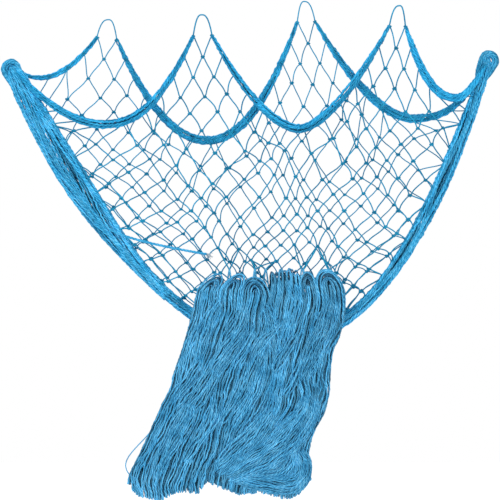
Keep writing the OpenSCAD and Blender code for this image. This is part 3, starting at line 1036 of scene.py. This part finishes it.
def add_hank_inside(material):
    """The strands inside the hank, as one ribbed mass that shows only in the gaps, darkened as
    painted shade.
    """
    levels = np.linspace(0, 1, 44)[:, None]
    turn = np.linspace(0, 2 * np.pi, 288, endpoint=False)[None]
    top, bottom = HANK_TOP - 0.044, HANK_BOTTOM + 0.062
    z = mix(top, bottom, levels) + 0 * turn
    end = np.sqrt(np.clip(1 - np.abs(2 * levels - 1) ** 12, 0.05, 1))
    share = 0.5 + 0.480 * end * np.sign(np.cos(turn)) * np.abs(np.cos(turn)) ** 0.6
    rib = 1 + 0.03 * np.cos(96 * turn + 14 * z)
    shell = (HANK_DEPTH - 0.014) * end * np.sign(np.sin(turn)) * np.abs(np.sin(turn)) ** 0.6 * rib
    share = share + 0.4 * hank_flow(share, z)
    points = np.stack([hank_x(share, z), HANK_Y + shell, z], axis=-1).reshape(-1, 3)
    rows, around = shell.shape
    index = np.arange(rows * around).reshape(rows, around)
    turned = np.roll(index, -1, axis=1)
    quads = np.stack([index[:-1], index[1:], turned[1:], turned[:-1]], axis=-1).reshape(-1, 4)
    faces = quads.tolist() + [index[0].tolist(), index[-1, ::-1].tolist()]
    mesh = bpy.data.meshes.new("hank_inner_strands")
    mesh.from_pydata(points.tolist(), [], faces)
    mesh.shade_smooth()
    uvs = mesh.uv_layers.new(name="twine")
    corner = np.zeros(len(mesh.loops), dtype=int)
    mesh.loops.foreach_get("vertex_index", corner)
    flat = np.stack([(corner % around) / 3, points[corner, 2]], axis=-1)
    uvs.data.foreach_set("uv", flat.ravel())
    # The inside mass is darkened to 0.45: painted shade in the gaps between the outer strands.
    shade = mesh.attributes.new("shade", "FLOAT", "POINT")
    shade.data.foreach_set("value", np.full(len(points), 0.45))
    mesh.materials.append(material)
    piece = bpy.data.objects.new("hank_inner_strands", mesh)
    bpy.context.collection.objects.link(piece)
    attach(piece, "hank")


def bend(start, middle, end, steps=14):
    """A curve that leaves its start towards the middle point and ends coming from it."""
    t = np.linspace(0, 1, steps)[:, None]
    return start * (1 - t) ** 2 + middle * 2 * t * (1 - t) + end * t ** 2


def add_hank_ties(knots, net_material, hank_material):
    """Twines from the front layer's knots that meet on the hinge line and run into the hank."""
    rng = np.random.default_rng(87)
    hinge_y, hinge_z = HINGE[1], HINGE[2]
    from_net, into_hank = Skein(), Skein()
    for x in TIES_X:
        meet = np.array([x, hinge_y, hinge_z])
        for side in (-1, 1):
            clear = (knots[:, 2] > hinge_z + 0.015) & (side * (knots[:, 0] - x) > 0.004)
            near = knots[clear]
            knot = near[np.argmin(np.linalg.norm(near - meet, axis=1))]
            for _ in range(2):
                shift = np.array([rng.uniform(-0.002, 0.002), 0, 0])
                slack = np.array([mix(x, knot[0], 0.25), hinge_y + 0.006, hinge_z + 0.010])
                over = np.array([x, HANK_Y + 0.010, hinge_z + 0.008])
                low = np.array([x + side * 0.006, HANK_Y, hinge_z - 0.040])
                lines = bend(knot, slack + shift, meet + shift)[None]
                from_net.add(lines, FRONT_R, shades(rng, 1))
                lines = bend(meet + shift, over + shift, low + shift)[None]
                into_hank.add(lines, FRONT_R, shades(rng, 1))
    from_net.build("hank_ties_net_end", net_material, "net", "net_twine")
    into_hank.build("hank_ties_hank_end", hank_material, "hank", "hank_twine")


def add_loose_loop(material):
    """A strand that hangs out of the hank's left edge and back into it."""
    t = np.linspace(0, 1, 60)
    x = mix(LOOSE_START[0], LOOSE_END[0], t) - LOOSE_BULGE * np.sin(np.pi * t ** 2)
    z = mix(LOOSE_START[1], LOOSE_END[1], t)
    line = np.stack([x, np.full_like(t, HANK_Y), z], axis=-1)
    skein = Skein()
    skein.add(line[None], LOOSE_R, np.array([1.1]))
    skein.build("hank_loose_loop_twine", material, "hank", "hank_twine", ["hank_loose_loop"])


# ---- the build ----

add_camera()
add_floor()
add_light()

# Colours of the painted shade in the grooves between the plies, of the twine's body and of the
# painted highlight on its lit crown
NET = twine_material("net_twine", (0.002, 0.09, 0.20), (0.005, 0.25, 0.45), (0.03, 0.45, 0.70))
BAND = twine_material("band_twine", (0.002, 0.13, 0.30), (0.008, 0.31, 0.60), (0.07, 0.54, 0.86))
GATHER = twine_material("gather_twine", (0.003, 0.14, 0.32), (0.022, 0.38, 0.69), (0.20, 0.65, 0.97))
HANK = twine_material("hank_twine", (0.006, 0.10, 0.23), (0.042, 0.33, 0.60), (0.24, 0.66, 0.95))
FRAY = twine_material("frayed_fibre", (0.35, 0.45, 0.52), (0.55, 0.66, 0.74), (0.80, 0.86, 0.90))

FRONT_KNOTS = add_layer("front", FRONT_SWAGS, FRONT_Y, FRONT_R, 11, NET)
add_layer("back", BACK_SWAGS, BACK_Y, BACK_R, 23, NET)
for number, bay in enumerate(FRONT_SWAGS):
    add_head_band("front", bay, FRONT_SWAGS[bay], FRONT_Y, 31 + number, 1, BAND)
    add_head_band("back", bay, BACK_SWAGS[bay], BACK_Y, 35 + number, BACK_THICKNESS[bay], BAND)
for layer, swags, y, radius in (
    ("front", FRONT_SWAGS, FRONT_Y, FRONT_R), ("back", BACK_SWAGS, BACK_Y, BACK_R)
):
    add_hang_loop(layer, "left", swags["left"], swags["middle"], y, radius, NET)
    add_hang_loop(layer, "right", swags["middle"], swags["right"], y, radius, NET)
add_end_bunch("left_end_bunch", "hook_left_end", 41, GATHER)
add_end_bunch("right_end_bunch", "hook_right_end", 43, GATHER)
add_side_gather("left_side_gather", 0.0, LEFT_BREAK, LEFT_HALF, 96, 51, GATHER)
add_side_gather("right_side_gather", 1.0, RIGHT_BREAK, RIGHT_HALF, 58, 53, GATHER)
add_foot_gather(GATHER)
add_stray_strand(GATHER)
add_fray(FRAY)
for number, fold in enumerate(FOLDS):
    add_fold(number + 1, fold, HANK)
add_locks(HANK)
add_scattered_locks(HANK)
add_hank_inside(HANK)
add_hank_ties(FRONT_KNOTS, NET, HANK)
add_loose_loop(HANK)
